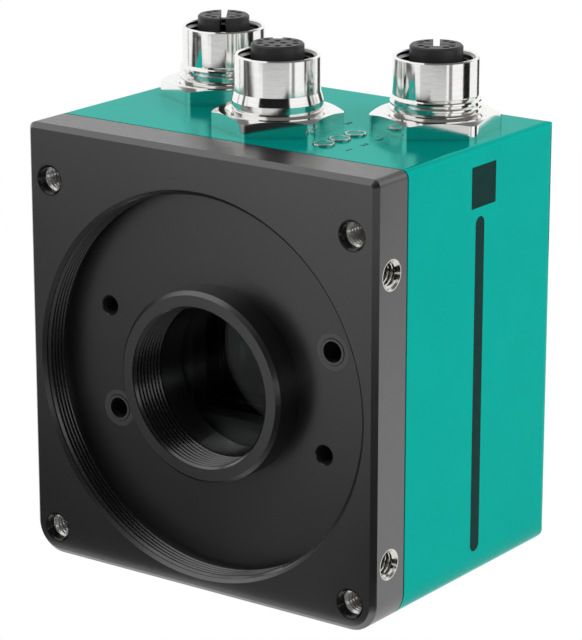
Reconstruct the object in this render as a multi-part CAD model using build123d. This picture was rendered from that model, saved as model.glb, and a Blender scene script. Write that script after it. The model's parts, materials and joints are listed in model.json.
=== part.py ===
from build123d import *
import math
import os

# Frame: origin under the middle of the body, the front faces -Y, the sockets stand up along +Z.
# All sizes are in millimetres. A depth is counted back from the front face.

# Body
BODY_WIDTH = 65.0
BODY_HEIGHT = 69.3
BODY_DEPTH = 48.9
PLATE_THICKNESS = 7.7
FRONT_CHAMFER = 0.8
LOWER_CORNER_RADIUS = 4.7
UPPER_CORNER_RADIUS = 1.2
LENS_HEIGHT = 32.5

# Housing
SEAL_THICKNESS = 0.3
SEAL_INSET = 0.4
SIDE_WALL = 2.5
TOP_WALL = 2.8
BACK_WALL = 2.5
SIDE_BACK_RADIUS = 2.4
TOP_BACK_RADIUS = 1.95
CAVITY_CORNER_RADIUS = 1.2

# Round recess of the front plate, tapped M60 x 0.75; thread walls are drawn at the major diameter
RECESS_SIDE_WALL = 2.0
RECESS_MOUTH_CHAMFER = 0.5
RECESS_THREAD_END = 4.3
RECESS_RELIEF = 0.1
RECESS_DEPTH = 5.4

# Lens boss, tapped 1 in x 32 turns
BOSS_RADIUS = 15.0
BOSS_SETBACK = 0.2
BOSS_CHAMFER = 0.6
LENS_THREAD_RADIUS = 12.7
LENS_THREAD_END = 6.7
LENS_BORE_RADIUS = 12.3
FLANGE_FOCUS = 17.526

# Window, mask and the collar behind the plate that holds them
WINDOW_DEPTH = 11.9
WINDOW_THICKNESS = 0.7
WINDOW_RADIUS = 14.5
WINDOW_CLEARANCE = 0.15
WINDOW_GASKET_THICKNESS = 0.3
WINDOW_GASKET_WIDTH = 0.7
COLLAR_WALL = 2.2
MASK_SPIGOT_LENGTH = 1.1
MASK_FLANGE_THICKNESS = 1.2
MASK_HALF_WIDTH = 10.6
MASK_HALF_HEIGHT = 8.5
MASK_WALL = 1.4
MASK_TUNNEL_LENGTH = 1.1
MASK_SCREW_SPACING = 41.0
MASK_POST_RADIUS = 2.4

# Thread inserts in the plate
INSERT_RADIUS = 2.4
INSERT_HOLE_RADIUS = 2.0
INSERT_MOUTH_RADIUS = 2.25
INSERT_LENGTH = 6.0
PRESS_CLEARANCE = 0.02
FRONT_INSERT_EDGE = 4.33
SIDE_INSERT_STEP = 6.0
SIDE_INSERT_DEPTH = 3.9

# Tapped holes and bushes in the recess floor, as offsets from the lens axis
FLOOR_UPPER_X = 21.1
FLOOR_UPPER_Z = 8.25
FLOOR_LOWER_X = 19.6
FLOOR_LOWER_Z = -8.1
FLOOR_TAP_RADIUS = 1.5
FLOOR_TAP_MOUTH_RADIUS = 1.65
FLOOR_TAP_LENGTH = 5.0
FLOOR_BUSH_RADIUS = 2.93
FLOOR_BUSH_HOLE_RADIUS = 2.0
FLOOR_POST_WALL = 1.0

# Screws from the back that draw the housing onto the plate
TIE_SHANK_RADIUS = 1.5
TIE_HEAD_RADIUS = 2.75
TIE_HEAD_HEIGHT = 3.0
TIE_HEAD_SINK = 0.3
TIE_KEY_RADIUS = 1.44
TIE_KEY_DEPTH = 1.6
TIE_LUG_RADIUS = 2.9
TIE_LUG_LENGTH = 6.0
TIE_LUG_CLEARANCE = 0.4
TIE_LUG_FLOOR = 0.6
TIE_BOSS_RADIUS = 3.7
TIE_BOSS_LENGTH = 4.0
SCREW_CLEARANCE = 0.1

# Sockets on the top: two near the sides, one in the middle nearer the front
SIDE_SOCKET_EDGE = 12.4
MIDDLE_SOCKET_DEPTH = 20.55
SIDE_SOCKET_OFFSET = 13.0
NUT_TURNS = {"left": 33.0, "middle": 35.3, "right": 38.5}
CORE_TURNS = {"left": 35.0, "middle": 36.0, "right": 33.0}
SOCKET_RIM_HEIGHT = 11.1
SLEEVE_RADIUS = 6.6
SLEEVE_FOOT = 5.5
SLEEVE_BORE_RADIUS = 6.0
SLEEVE_BORE_FLOOR = 2.6
RIM_CHAMFER = 0.15
RIM_OUTER_CHAMFER = 0.2
NECK_RADIUS = 7.0
NECK_CLEARANCE = 0.08
NECK_FLAT_DISTANCE = 6.15
NECK_FLAT_TURNS = {"left": -41.0, "right": -28.0}
CONE_FOOT = 4.1
NECK_GROOVE_DEPTH = 0.25
NECK_GROOVE_WIDTH = 0.4
NECK_GROOVE_HEIGHT = 2.75
FLANGE_RADIUS = 7.8
FLANGE_THICKNESS = 1.4
FLANGE_SEAL_THICKNESS = 0.4
TAIL_RADIUS = 4.9
TAIL_LENGTH = 5.6

# Contact insert of a socket
CORE_RADIUS = 4.08
CORE_HEIGHT = 12.8
CORE_COLLAR_HEIGHT = 1.1
CORE_STEM_RADIUS = 4.2
CORE_EDGE_CHAMFER = 0.25
CORE_CLEARANCE = 0.03
KEY_WIDTH = 1.5
KEY_DEPTH = 1.2
KEY_SLOT_WIDTH = 1.0
KEY_SLOT_FRONTS = {"left": CORE_RADIUS, "right": 1.5}
SLIT_WIDTH = 0.35
SLIT_REACH = 2.95
SLOT_DEPTH = 7.5
CONTACT_RADIUS = 0.42
CONTACT_MOUTH_RADIUS = 0.55
CONTACT_MOUTH_DEPTH = 0.3
CONTACT_SINK = 1.2
OUTER_CONTACT_COUNT = 9
OUTER_CONTACT_RADIUS = 2.85
INNER_CONTACT_COUNT = 3
INNER_CONTACT_RADIUS = 1.0
PAIR_RADIUS = 2.75
PAIR_HALF_ANGLE = 14.0

# Hexagon locknut
NUT_ACROSS_FLATS = 18.0
NUT_HEIGHT = 2.5
NUT_EDGE_RADIUS = 2.0
NUT_TOP_BEVEL_RADIUS = 9.0
NUT_TOP_BEVEL_DROP = 0.55
NUT_DISH_RADIUS = 8.1
NUT_DISH_DEPTH = 0.7

# Status lights on the top
LIGHT_X = 13.2
LIGHT_DEPTHS = [14.1, 18.2, 22.3]
LIGHT_RADIUS = 1.65
LIGHT_FLANGE_RADIUS = 2.2
LIGHT_FLANGE_THICKNESS = 0.8
LIGHT_RISE = 0.25
LIGHT_DOME = 0.2
LAMP_SIZE = 2.0
LAMP_HEIGHT = 1.4
LAMP_GAP = 0.3

# Image sensor
SENSOR_HALF_WIDTH = 8.6
SENSOR_HALF_HEIGHT = 7.4
SENSOR_PACKAGE_THICKNESS = 1.9
SENSOR_WELL_HALF_WIDTH = 6.6
SENSOR_WELL_HALF_HEIGHT = 5.4
SENSOR_DIE_HALF_WIDTH = 5.0
SENSOR_DIE_HALF_HEIGHT = 3.9
SENSOR_DIE_THICKNESS = 0.4
SENSOR_GLASS_THICKNESS = 0.5
SENSOR_GLASS_BORDER = 0.7
SENSOR_BOARD_GAP = 1.2

# Boards
BOARD_THICKNESS = 1.6
SENSOR_BOARD_WIDTH = 44.0
PROCESSOR_BOARD_WIDTH = 46.0
BOARD_TOP_GAP = 1.3
BOARD_FLOOR_GAP = 8.5
BOARD_CORNER_RADIUS = 1.5
BOARD_SCREW_EDGE = 3.5
BOARD_POST_RADIUS = 2.6
BOARD_SPACER_RADIUS = 2.5
BOARD_SPACER_LENGTH = 9.5
SMALL_SCREW_RADIUS = 1.0
SMALL_SCREW_HEAD_RADIUS = 1.9
SMALL_SCREW_HEAD_HEIGHT = 1.3
SMALL_SCREW_REACH = 3.5
SMALL_SCREW_SLOT_WIDTH = 0.6
SMALL_SCREW_SLOT_DEPTH = 0.5
PROCESSOR_SIZE = 15.0
PROCESSOR_THICKNESS = 2.0
PROCESSOR_RISE = 2.0
MEMORY_WIDTH = 9.0
MEMORY_HEIGHT = 12.0
MEMORY_THICKNESS = 1.1
MEMORY_OFFSET = 14.5
THERMAL_PAD_THICKNESS = 1.5
LINK_WIDTH = 22.0
LINK_HEIGHT = 5.0
LINK_DROP = 13.5
LINK_PLUG_LENGTH = 4.5
PIN_HEADER_WIDTH = 12.0
PIN_HEADER_THICKNESS = 4.0
PIN_HEADER_HEIGHT = 6.0
SOCKET_BOARD_GAP = 2.2
SOCKET_BOARD_SIDE_GAP = 6.5
SOCKET_BOARD_FRONT = 12.5
SOCKET_BOARD_BACK_GAP = 3.4
HANGER_RADIUS = 2.5
HANGER_EDGE = 11.0
FRONT_HANGER_DEPTH = 16.5
BACK_HANGER_X = 8.0
BACK_HANGER_BACK = 8.7

# Places worked out from the sizes above
FRONT_Y = -BODY_DEPTH / 2
HOUSING_FRONT = PLATE_THICKNESS + SEAL_THICKNESS
CAVITY_BACK = BODY_DEPTH - BACK_WALL
CAVITY_HALF_WIDTH = BODY_WIDTH / 2 - SIDE_WALL
CAVITY_TOP = BODY_HEIGHT - TOP_WALL
RECESS_MOUTH_RADIUS = BODY_WIDTH / 2 - RECESS_SIDE_WALL
RECESS_THREAD_RADIUS = RECESS_MOUTH_RADIUS - RECESS_MOUTH_CHAMFER
RECESS_RELIEF_RADIUS = RECESS_THREAD_RADIUS + RECESS_RELIEF
GASKET_DEPTH = WINDOW_DEPTH + WINDOW_THICKNESS
MASK_DEPTH = GASKET_DEPTH + WINDOW_GASKET_THICKNESS
COLLAR_END = MASK_DEPTH + MASK_SPIGOT_LENGTH
COLLAR_BORE_RADIUS = WINDOW_RADIUS + WINDOW_CLEARANCE
COLLAR_RADIUS = COLLAR_BORE_RADIUS + COLLAR_WALL
SENSOR_PLANE = BOSS_SETBACK + FLANGE_FOCUS
SENSOR_BOARD_DEPTH = SENSOR_PLANE + SENSOR_BOARD_GAP
PROCESSOR_BOARD_DEPTH = SENSOR_BOARD_DEPTH + BOARD_THICKNESS + BOARD_SPACER_LENGTH
PROCESSOR_BOARD_BACK = PROCESSOR_BOARD_DEPTH + BOARD_THICKNESS
FLANGE_TOP = CAVITY_TOP - FLANGE_SEAL_THICKNESS
FLANGE_BOTTOM = FLANGE_TOP - FLANGE_THICKNESS
TAIL_BOTTOM = FLANGE_BOTTOM - TAIL_LENGTH
SOCKET_BOARD_TOP = TAIL_BOTTOM - SOCKET_BOARD_GAP
SOCKET_BOARD_BOTTOM = SOCKET_BOARD_TOP - BOARD_THICKNESS
TIE_X = CAVITY_HALF_WIDTH - TIE_LUG_RADIUS - TIE_LUG_CLEARANCE
TIE_LOWER_Z = SIDE_WALL + TIE_LUG_RADIUS + TIE_LUG_CLEARANCE
TIE_UPPER_Z = FLANGE_BOTTOM - TIE_BOSS_RADIUS - TIE_LUG_CLEARANCE
TIE_PLACES = [(side * TIE_X, z) for side in (-1, 1) for z in (TIE_LOWER_Z, TIE_UPPER_Z)]
TIE_SEAT = BODY_DEPTH - TIE_HEAD_SINK - TIE_HEAD_HEIGHT
FLOOR_BUSHES = [(FLOOR_UPPER_X, FLOOR_UPPER_Z), (-FLOOR_LOWER_X, FLOOR_LOWER_Z)]
FLOOR_TAPS = [(-FLOOR_UPPER_X, FLOOR_UPPER_Z), (FLOOR_LOWER_X, FLOOR_LOWER_Z)]
BOARD_BOTTOM = SIDE_WALL + BOARD_FLOOR_GAP
BOARD_TOP = SOCKET_BOARD_BOTTOM - BOARD_TOP_GAP
BOARD_SCREW_X = SENSOR_BOARD_WIDTH / 2 - BOARD_SCREW_EDGE
BOARD_SCREW_HEIGHTS = (BOARD_BOTTOM + BOARD_SCREW_EDGE, BOARD_TOP - BOARD_SCREW_EDGE)
BOARD_PLACES = [(side * BOARD_SCREW_X, z) for side in (-1, 1) for z in BOARD_SCREW_HEIGHTS]
FRONT_HANGER = (BODY_WIDTH / 2 - HANGER_EDGE, FRONT_HANGER_DEPTH)
BACK_HANGER = (BACK_HANGER_X, BODY_DEPTH - BACK_HANGER_BACK)
HANGERS = [(side * x, depth) for side in (-1, 1) for x, depth in (FRONT_HANGER, BACK_HANGER)]
SIDE_SOCKET_X = BODY_WIDTH / 2 - SIDE_SOCKET_EDGE
SIDE_SOCKET_DEPTH = MIDDLE_SOCKET_DEPTH + SIDE_SOCKET_OFFSET
SOCKET_PLACES = [
    ("left", -SIDE_SOCKET_X, SIDE_SOCKET_DEPTH),
    ("middle", 0.0, MIDDLE_SOCKET_DEPTH),
    ("right", SIDE_SOCKET_X, SIDE_SOCKET_DEPTH),
]
LENS_AXIS = Axis((0, 0, LENS_HEIGHT), (0, 1, 0))


def slab(outline, front, back):
    """Extrude an outline drawn in X and Z between two depths behind the front face."""
    return extrude(Plane.XZ.offset(-FRONT_Y - front) * outline, amount=front - back)


def layer(outline, bottom, top):
    """Extrude an outline drawn in X and Y between two heights."""
    return extrude(Plane.XY.offset(bottom) * outline, amount=top - bottom)


def rod(x, z, radius, front, back):
    """Round bar along the depth of the body."""
    return slab(Pos(x, z) * Circle(radius), front, back)


def post(x, depth, radius, bottom, top):
    """Upright round bar."""
    return layer(Pos(x, FRONT_Y + depth) * Circle(radius), bottom, top)


def turned_on_lens_axis(profile):
    """Revolve a profile of (radius, depth) points about the lens axis."""
    points = [(radius, FRONT_Y + depth, LENS_HEIGHT) for radius, depth in profile]
    return revolve(make_face(Polyline(*points, close=True)), LENS_AXIS)


def turned_upright(x, depth, profile):
    """Revolve a profile of (radius, height) points about an upright axis."""
    y = FRONT_Y + depth
    points = [(x + radius, y, height) for radius, height in profile]
    return revolve(make_face(Polyline(*points, close=True)), Axis((x, y, 0), (0, 0, 1)))


def body_outline(inset, top, lower_radius, upper_radius):
    """Outline of the body in X and Z, drawn in by an inset at the sides and below, up to a height."""
    outline = Pos(0, (inset + top) / 2) * Rectangle(BODY_WIDTH - 2 * inset, top - inset)
    middle = (inset + top) / 2
    lower = [v for v in outline.vertices() if v.Y < middle]
    outline = fillet(lower, lower_radius)
    upper = [v for v in outline.vertices() if v.Y > middle]
    return fillet(upper, upper_radius)


def cavity_outline():
    return body_outline(SIDE_WALL, CAVITY_TOP, LOWER_CORNER_RADIUS - SIDE_WALL, CAVITY_CORNER_RADIUS)


def insert_places():
    """Corner places of the front thread inserts, on a square about the lens axis."""
    half = BODY_WIDTH / 2 - FRONT_INSERT_EDGE
    return [(sx * half, LENS_HEIGHT + sz * half) for sx in (-1, 1) for sz in (-1, 1)]


def side_insert_heights():
    half = BODY_WIDTH / 2 - FRONT_INSERT_EDGE - SIDE_INSERT_STEP
    return [LENS_HEIGHT - half, LENS_HEIGHT + half]


def side_rod(side, height, radius, start, length):
    """Round bar that goes in from the left (-1) or right (+1) side face of the plate."""
    plane = Plane((side * (BODY_WIDTH / 2 - start), FRONT_Y + SIDE_INSERT_DEPTH, height), z_dir=(-side, 0, 0))
    return extrude(plane * Circle(radius), amount=length)


def front_plate():
    outline = body_outline(0, BODY_HEIGHT, LOWER_CORNER_RADIUS, UPPER_CORNER_RADIUS)
    plate = slab(outline, 0, PLATE_THICKNESS)
    plate = chamfer(plate.faces().sort_by(Axis.Y)[0].edges(), FRONT_CHAMFER)
    plate += rod(0, LENS_HEIGHT, COLLAR_RADIUS, PLATE_THICKNESS, COLLAR_END)
    for x, z in BOARD_PLACES:
        plate += rod(x, z, BOARD_POST_RADIUS, PLATE_THICKNESS, SENSOR_BOARD_DEPTH)
    for x, z in TIE_PLACES:
        plate += rod(x, z, TIE_LUG_RADIUS, PLATE_THICKNESS, PLATE_THICKNESS + TIE_LUG_LENGTH)
    for side in (-1, 1):
        x = side * MASK_SCREW_SPACING / 2
        plate += rod(x, LENS_HEIGHT, MASK_POST_RADIUS, PLATE_THICKNESS, COLLAR_END)
    for x, z in FLOOR_BUSHES:
        end = RECESS_DEPTH + FLOOR_TAP_LENGTH + FLOOR_POST_WALL
        plate += rod(x, LENS_HEIGHT + z, FLOOR_BUSH_RADIUS + FLOOR_POST_WALL, PLATE_THICKNESS, end)
    for x, z in FLOOR_TAPS:
        end = RECESS_DEPTH + FLOOR_TAP_LENGTH + FLOOR_POST_WALL
        plate += rod(x, LENS_HEIGHT + z, FLOOR_BUSH_RADIUS, PLATE_THICKNESS, end)
    plate -= recess_and_bore()
    for hole in plate_holes():
        plate -= hole
    return plate


def recess_and_bore():
    """Everything turned out of the plate on the lens axis: recess round the boss, and stepped bore."""
    clear = 1.0
    return turned_on_lens_axis([
        (0, -clear),
        (RECESS_MOUTH_RADIUS + clear, -clear),
        (RECESS_THREAD_RADIUS, RECESS_MOUTH_CHAMFER),
        (RECESS_THREAD_RADIUS, RECESS_THREAD_END),
        (RECESS_RELIEF_RADIUS, RECESS_THREAD_END),
        (RECESS_RELIEF_RADIUS, RECESS_DEPTH),
        (BOSS_RADIUS, RECESS_DEPTH),
        (BOSS_RADIUS, BOSS_SETBACK + BOSS_CHAMFER),
        (BOSS_RADIUS - BOSS_CHAMFER, BOSS_SETBACK),
        (LENS_THREAD_RADIUS, BOSS_SETBACK),
        (LENS_THREAD_RADIUS, LENS_THREAD_END),
        (LENS_BORE_RADIUS, LENS_THREAD_END),
        (LENS_BORE_RADIUS, WINDOW_DEPTH),
        (COLLAR_BORE_RADIUS, WINDOW_DEPTH),
        (COLLAR_BORE_RADIUS, COLLAR_END + clear),
        (0, COLLAR_END + clear),
    ])


def plate_holes():
    """Blind holes for inserts, bushes and screws."""
    holes = []
    pocket = INSERT_RADIUS + PRESS_CLEARANCE
    for x, z in insert_places():
        holes.append(rod(x, z, pocket, 0, INSERT_LENGTH))
    for side in (-1, 1):
        for height in side_insert_heights():
            holes.append(side_rod(side, height, pocket, 0, INSERT_LENGTH))
    floor_end = RECESS_DEPTH + FLOOR_TAP_LENGTH
    for x, z in FLOOR_BUSHES:
        holes.append(rod(x, LENS_HEIGHT + z, FLOOR_BUSH_RADIUS + PRESS_CLEARANCE, RECESS_DEPTH, floor_end))
    for x, z in FLOOR_TAPS:
        holes.append(countersunk_hole(x, LENS_HEIGHT + z, RECESS_DEPTH, floor_end))
    tie_hole = TIE_SHANK_RADIUS + PRESS_CLEARANCE
    for x, z in TIE_PLACES:
        holes.append(rod(x, z, tie_hole, PLATE_THICKNESS + TIE_LUG_FLOOR, PLATE_THICKNESS + TIE_LUG_LENGTH))
    screw_hole = SMALL_SCREW_RADIUS + PRESS_CLEARANCE
    for x, z in BOARD_PLACES:
        holes.append(rod(x, z, screw_hole, SENSOR_BOARD_DEPTH - 2 * SMALL_SCREW_REACH, SENSOR_BOARD_DEPTH))
    for side in (-1, 1):
        x = side * MASK_SCREW_SPACING / 2
        holes.append(rod(x, LENS_HEIGHT, screw_hole, COLLAR_END - SMALL_SCREW_REACH, COLLAR_END))
    return holes


def countersunk_hole(x, z, front, back):
    """Tapped hole of the recess floor with its small lead-in cone."""
    drop = FLOOR_TAP_MOUTH_RADIUS - FLOOR_TAP_RADIUS
    face = Plane((x, FRONT_Y + front, z), x_dir=(1, 0, 0), z_dir=(0, 1, 0))
    mouth = face * Pos(0, 0, drop / 2) * Cone(FLOOR_TAP_MOUTH_RADIUS, FLOOR_TAP_RADIUS, drop)
    return rod(x, z, FLOOR_TAP_RADIUS, front, back) + mouth


def thread_insert(plane, radius, hole_radius, mouth_radius, length):
    """Threaded sleeve with a coned mouth; it goes in along the plane's normal."""
    sleeve = extrude(plane * (Circle(radius) - Circle(hole_radius)), amount=length)
    drop = mouth_radius - hole_radius
    cone = plane * Pos(0, 0, drop / 2) * Cone(mouth_radius, hole_radius, drop)
    return sleeve - cone


def front_thread_inserts():
    planes = [Plane((x, FRONT_Y, z), x_dir=(1, 0, 0), z_dir=(0, 1, 0)) for x, z in insert_places()]
    return [
        thread_insert(plane, INSERT_RADIUS, INSERT_HOLE_RADIUS, INSERT_MOUTH_RADIUS, INSERT_LENGTH)
        for plane in planes
    ]


def side_thread_inserts():
    sleeves = []
    for side in (-1, 1):
        for height in side_insert_heights():
            start = (side * BODY_WIDTH / 2, FRONT_Y + SIDE_INSERT_DEPTH, height)
            plane = Plane(start, x_dir=(0, 1, 0), z_dir=(-side, 0, 0))
            sleeves.append(
                thread_insert(plane, INSERT_RADIUS, INSERT_HOLE_RADIUS, INSERT_MOUTH_RADIUS, INSERT_LENGTH)
            )
    return sleeves


def recess_bushes():
    bushes = []
    for x, z in FLOOR_BUSHES:
        start = (x, FRONT_Y + RECESS_DEPTH, LENS_HEIGHT + z)
        plane = Plane(start, x_dir=(1, 0, 0), z_dir=(0, 1, 0))
        hole = FLOOR_BUSH_HOLE_RADIUS
        mouth = hole + FLOOR_TAP_MOUTH_RADIUS - FLOOR_TAP_RADIUS
        bushes.append(thread_insert(plane, FLOOR_BUSH_RADIUS, hole, mouth, FLOOR_TAP_LENGTH))
    return bushes


def window_glass():
    return rod(0, LENS_HEIGHT, WINDOW_RADIUS, WINDOW_DEPTH, GASKET_DEPTH)


def window_gasket():
    ring = Circle(WINDOW_RADIUS) - Circle(WINDOW_RADIUS - WINDOW_GASKET_WIDTH)
    return slab(Pos(0, LENS_HEIGHT) * ring, GASKET_DEPTH, MASK_DEPTH)


def sensor_mask():
    """Light baffle: spigot in the collar, flange with two screw ears, and a short square tunnel."""
    flange_back = COLLAR_END + MASK_FLANGE_THICKNESS
    tunnel_back = flange_back + MASK_TUNNEL_LENGTH
    mask = rod(0, LENS_HEIGHT, WINDOW_RADIUS, MASK_DEPTH, COLLAR_END)
    ears = Pos(0, LENS_HEIGHT) * SlotCenterToCenter(MASK_SCREW_SPACING, 2 * MASK_POST_RADIUS)
    disc = Pos(0, LENS_HEIGHT) * Circle(COLLAR_RADIUS)
    mask += slab(ears + disc, COLLAR_END, flange_back)
    outer = Rectangle(2 * (MASK_HALF_WIDTH + MASK_WALL), 2 * (MASK_HALF_HEIGHT + MASK_WALL))
    mask += slab(Pos(0, LENS_HEIGHT) * outer, flange_back, tunnel_back)
    inner = Rectangle(2 * MASK_HALF_WIDTH, 2 * MASK_HALF_HEIGHT)
    mask -= slab(Pos(0, LENS_HEIGHT) * inner, MASK_DEPTH, tunnel_back)
    for side in (-1, 1):
        x = side * MASK_SCREW_SPACING / 2
        mask -= rod(x, LENS_HEIGHT, SMALL_SCREW_RADIUS + SCREW_CLEARANCE, COLLAR_END, flange_back)
    return mask


def small_screw(x, z, seat, grip):
    """Slotted pan-head screw that enters towards the front; the head sits behind the seat depth."""
    screw = rod(x, z, SMALL_SCREW_RADIUS, seat - grip, seat)
    head = rod(x, z, SMALL_SCREW_HEAD_RADIUS, seat, seat + SMALL_SCREW_HEAD_HEIGHT)
    head = chamfer(head.faces().sort_by(Axis.Y)[-1].edges(), SMALL_SCREW_HEAD_HEIGHT / 3)
    top = seat + SMALL_SCREW_HEAD_HEIGHT
    slot = Pos(x, z) * Rectangle(2 * SMALL_SCREW_HEAD_RADIUS, SMALL_SCREW_SLOT_WIDTH)
    return screw + head - slab(slot, top - SMALL_SCREW_SLOT_DEPTH, top)


def mask_screws():
    seat = COLLAR_END + MASK_FLANGE_THICKNESS
    grip = MASK_FLANGE_THICKNESS + SMALL_SCREW_REACH - SCREW_CLEARANCE
    return [small_screw(side * MASK_SCREW_SPACING / 2, LENS_HEIGHT, seat, grip) for side in (-1, 1)]


def centred_block(half_width, half_height, front, back):
    return slab(Pos(0, LENS_HEIGHT) * Rectangle(2 * half_width, 2 * half_height), front, back)


def sensor_package():
    """Ceramic tray of the image sensor with its stepped well."""
    front = SENSOR_BOARD_DEPTH - SENSOR_PACKAGE_THICKNESS
    tray = centred_block(SENSOR_HALF_WIDTH, SENSOR_HALF_HEIGHT, front, SENSOR_BOARD_DEPTH)
    floor = SENSOR_PLANE + SENSOR_DIE_THICKNESS
    return tray - centred_block(SENSOR_WELL_HALF_WIDTH, SENSOR_WELL_HALF_HEIGHT, front, floor)


def sensor_die():
    back = SENSOR_PLANE + SENSOR_DIE_THICKNESS
    return centred_block(SENSOR_DIE_HALF_WIDTH, SENSOR_DIE_HALF_HEIGHT, SENSOR_PLANE, back)


def sensor_cover_glass():
    back = SENSOR_BOARD_DEPTH - SENSOR_PACKAGE_THICKNESS
    half_width = SENSOR_HALF_WIDTH - SENSOR_GLASS_BORDER
    half_height = SENSOR_HALF_HEIGHT - SENSOR_GLASS_BORDER
    return centred_block(half_width, half_height, back - SENSOR_GLASS_THICKNESS, back)


def board(width, depth):
    centre = Pos(0, (BOARD_BOTTOM + BOARD_TOP) / 2)
    outline = centre * RectangleRounded(width, BOARD_TOP - BOARD_BOTTOM, BOARD_CORNER_RADIUS)
    plate = slab(outline, depth, depth + BOARD_THICKNESS)
    for x, z in BOARD_PLACES:
        plate -= rod(x, z, SMALL_SCREW_RADIUS + SCREW_CLEARANCE, depth, depth + BOARD_THICKNESS)
    return plate


def sensor_board():
    return board(SENSOR_BOARD_WIDTH, SENSOR_BOARD_DEPTH)


def processor_board():
    return board(PROCESSOR_BOARD_WIDTH, PROCESSOR_BOARD_DEPTH)


def board_spacers():
    """Hexagon spacers: the stud holds the sensor board to the plate, the tail takes the next screw."""
    front = SENSOR_BOARD_DEPTH + BOARD_THICKNESS
    stud_start = SENSOR_BOARD_DEPTH - SMALL_SCREW_REACH
    spacers = []
    for x, z in BOARD_PLACES:
        spacer = slab(Pos(x, z) * RegularPolygon(BOARD_SPACER_RADIUS, 6), front, PROCESSOR_BOARD_DEPTH)
        spacer += rod(x, z, SMALL_SCREW_RADIUS, stud_start, front)
        hole_front = PROCESSOR_BOARD_DEPTH - SMALL_SCREW_REACH
        spacer -= rod(x, z, SMALL_SCREW_RADIUS + PRESS_CLEARANCE, hole_front, PROCESSOR_BOARD_DEPTH)
        spacers.append(spacer)
    return spacers


def processor_board_screws():
    grip = BOARD_THICKNESS + SMALL_SCREW_REACH - SCREW_CLEARANCE
    return [small_screw(x, z, PROCESSOR_BOARD_BACK, grip) for x, z in BOARD_PLACES]


def processor_chip():
    centre = Pos(0, LENS_HEIGHT + PROCESSOR_RISE)
    back = PROCESSOR_BOARD_BACK + PROCESSOR_THICKNESS
    return slab(centre * Rectangle(PROCESSOR_SIZE, PROCESSOR_SIZE), PROCESSOR_BOARD_BACK, back)


def memory_chips():
    chips = []
    for side in (-1, 1):
        centre = Pos(side * MEMORY_OFFSET, LENS_HEIGHT + PROCESSOR_RISE)
        back = PROCESSOR_BOARD_BACK + MEMORY_THICKNESS
        chips.append(slab(centre * Rectangle(MEMORY_WIDTH, MEMORY_HEIGHT), PROCESSOR_BOARD_BACK, back))
    return chips


def thermal_pad():
    front = PROCESSOR_BOARD_BACK + PROCESSOR_THICKNESS
    centre = Pos(0, LENS_HEIGHT + PROCESSOR_RISE)
    return slab(centre * Rectangle(PROCESSOR_SIZE, PROCESSOR_SIZE), front, front + THERMAL_PAD_THICKNESS)


def link_outline(inset):
    centre = Pos(0, LENS_HEIGHT - LINK_DROP)
    return centre * Rectangle(LINK_WIDTH - 2 * inset, LINK_HEIGHT - 2 * inset)


def board_link_plug():
    front = SENSOR_BOARD_DEPTH + BOARD_THICKNESS
    return slab(link_outline(0.6), front, front + LINK_PLUG_LENGTH)


def board_link_receptacle():
    front = SENSOR_BOARD_DEPTH + BOARD_THICKNESS + LINK_PLUG_LENGTH
    return slab(link_outline(0), front, PROCESSOR_BOARD_DEPTH)


def pin_header():
    """Angled header between the processor board's back and the underside of the socket board."""
    centre = Pos(0, SOCKET_BOARD_BOTTOM - PIN_HEADER_HEIGHT / 2)
    outline = centre * Rectangle(PIN_HEADER_WIDTH, PIN_HEADER_HEIGHT)
    return slab(outline, PROCESSOR_BOARD_BACK, PROCESSOR_BOARD_BACK + PIN_HEADER_THICKNESS)


def socket_board():
    """Level board under the sockets, drilled for their contacts and for the hanger screws."""
    length = CAVITY_BACK - SOCKET_BOARD_BACK_GAP - SOCKET_BOARD_FRONT
    width = 2 * (CAVITY_HALF_WIDTH - SOCKET_BOARD_SIDE_GAP)
    centre = Pos(0, FRONT_Y + SOCKET_BOARD_FRONT + length / 2)
    outline = centre * RectangleRounded(width, length, BOARD_CORNER_RADIUS)
    plate = layer(outline, SOCKET_BOARD_BOTTOM, SOCKET_BOARD_TOP)
    for x, depth in HANGERS:
        plate -= post(x, depth, SMALL_SCREW_RADIUS + SCREW_CLEARANCE, SOCKET_BOARD_BOTTOM, SOCKET_BOARD_TOP)
    return plate


def socket_board_screws():
    screws = []
    for x, depth in HANGERS:
        bottom = SOCKET_BOARD_BOTTOM - SMALL_SCREW_HEAD_HEIGHT
        top = SOCKET_BOARD_TOP + SMALL_SCREW_REACH - SCREW_CLEARANCE
        screw = post(x, depth, SMALL_SCREW_RADIUS, SOCKET_BOARD_BOTTOM, top)
        screw += post(x, depth, SMALL_SCREW_HEAD_RADIUS, bottom, SOCKET_BOARD_BOTTOM)
        slot = Pos(x, FRONT_Y + depth) * Rectangle(2 * SMALL_SCREW_HEAD_RADIUS, SMALL_SCREW_SLOT_WIDTH)
        screws.append(screw - layer(slot, bottom, bottom + SMALL_SCREW_SLOT_DEPTH))
    return screws


def housing_shell():
    """Outer form of the housing, rounded where the side, top and back faces meet."""
    outline = body_outline(0, BODY_HEIGHT, LOWER_CORNER_RADIUS, UPPER_CORNER_RADIUS)
    form = slab(outline, HOUSING_FRONT, BODY_DEPTH)
    length = BODY_DEPTH - HOUSING_FRONT
    middle = FRONT_Y + HOUSING_FRONT + length / 2
    plan = Pos(0, middle) * Rectangle(BODY_WIDTH, length)
    plan = fillet([v for v in plan.vertices() if v.Y > middle], SIDE_BACK_RADIUS)
    form &= layer(plan, 0, BODY_HEIGHT)
    side_view = Pos(middle, BODY_HEIGHT / 2) * Rectangle(length, BODY_HEIGHT)
    side_view = fillet([v for v in side_view.vertices() if v.X > middle], TOP_BACK_RADIUS)
    form &= extrude(Plane.YZ * side_view, amount=BODY_WIDTH / 2, both=True)
    return form


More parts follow.
